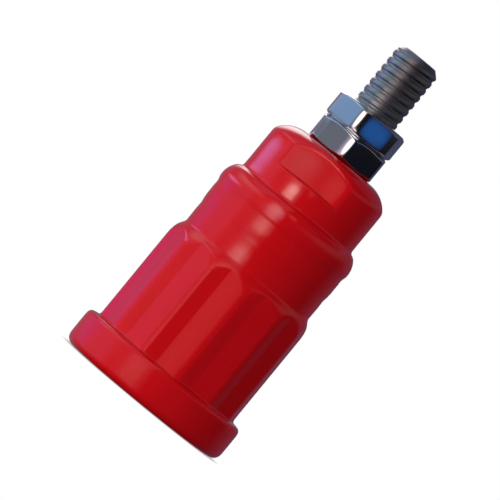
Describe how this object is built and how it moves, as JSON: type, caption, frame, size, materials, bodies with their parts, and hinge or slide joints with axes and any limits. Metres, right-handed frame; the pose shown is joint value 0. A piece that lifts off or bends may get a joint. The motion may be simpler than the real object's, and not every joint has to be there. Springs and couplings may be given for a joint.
{
  "type": "banana socket",
  "caption": "Insulated panel banana socket: flanged and fluted moulded housing around a turned contact with a plug bore, and a rear threaded stud with hexagon nuts.",
  "frame": {"origin": "centre of the flange's front face, which the part stands on", "axes": "+Z along the socket's axis from the plug's side to the stud; the wrench flats of the rear boss face -Y and +Y"},
  "size_m": [0.0151, 0.015, 0.0343],
  "materials": {
    "housing_plastic": "moulded gloss",
    "contact_plating": "nickel plated",
    "nut_plating": "bright nickel plated"
  },
  "bodies": {
    "socket": {"housing": "housing_plastic", "contact": "contact_plating", "lock_nut": "nut_plating"},
    "nut": {"terminal_nut": "nut_plating"}
  },
  "joints": [
    {"name": "nut_travel", "type": "slide", "parent": "socket", "child": "nut", "axis": [0, 0, 1], "range_m": [0, 0.007]}
  ]
}
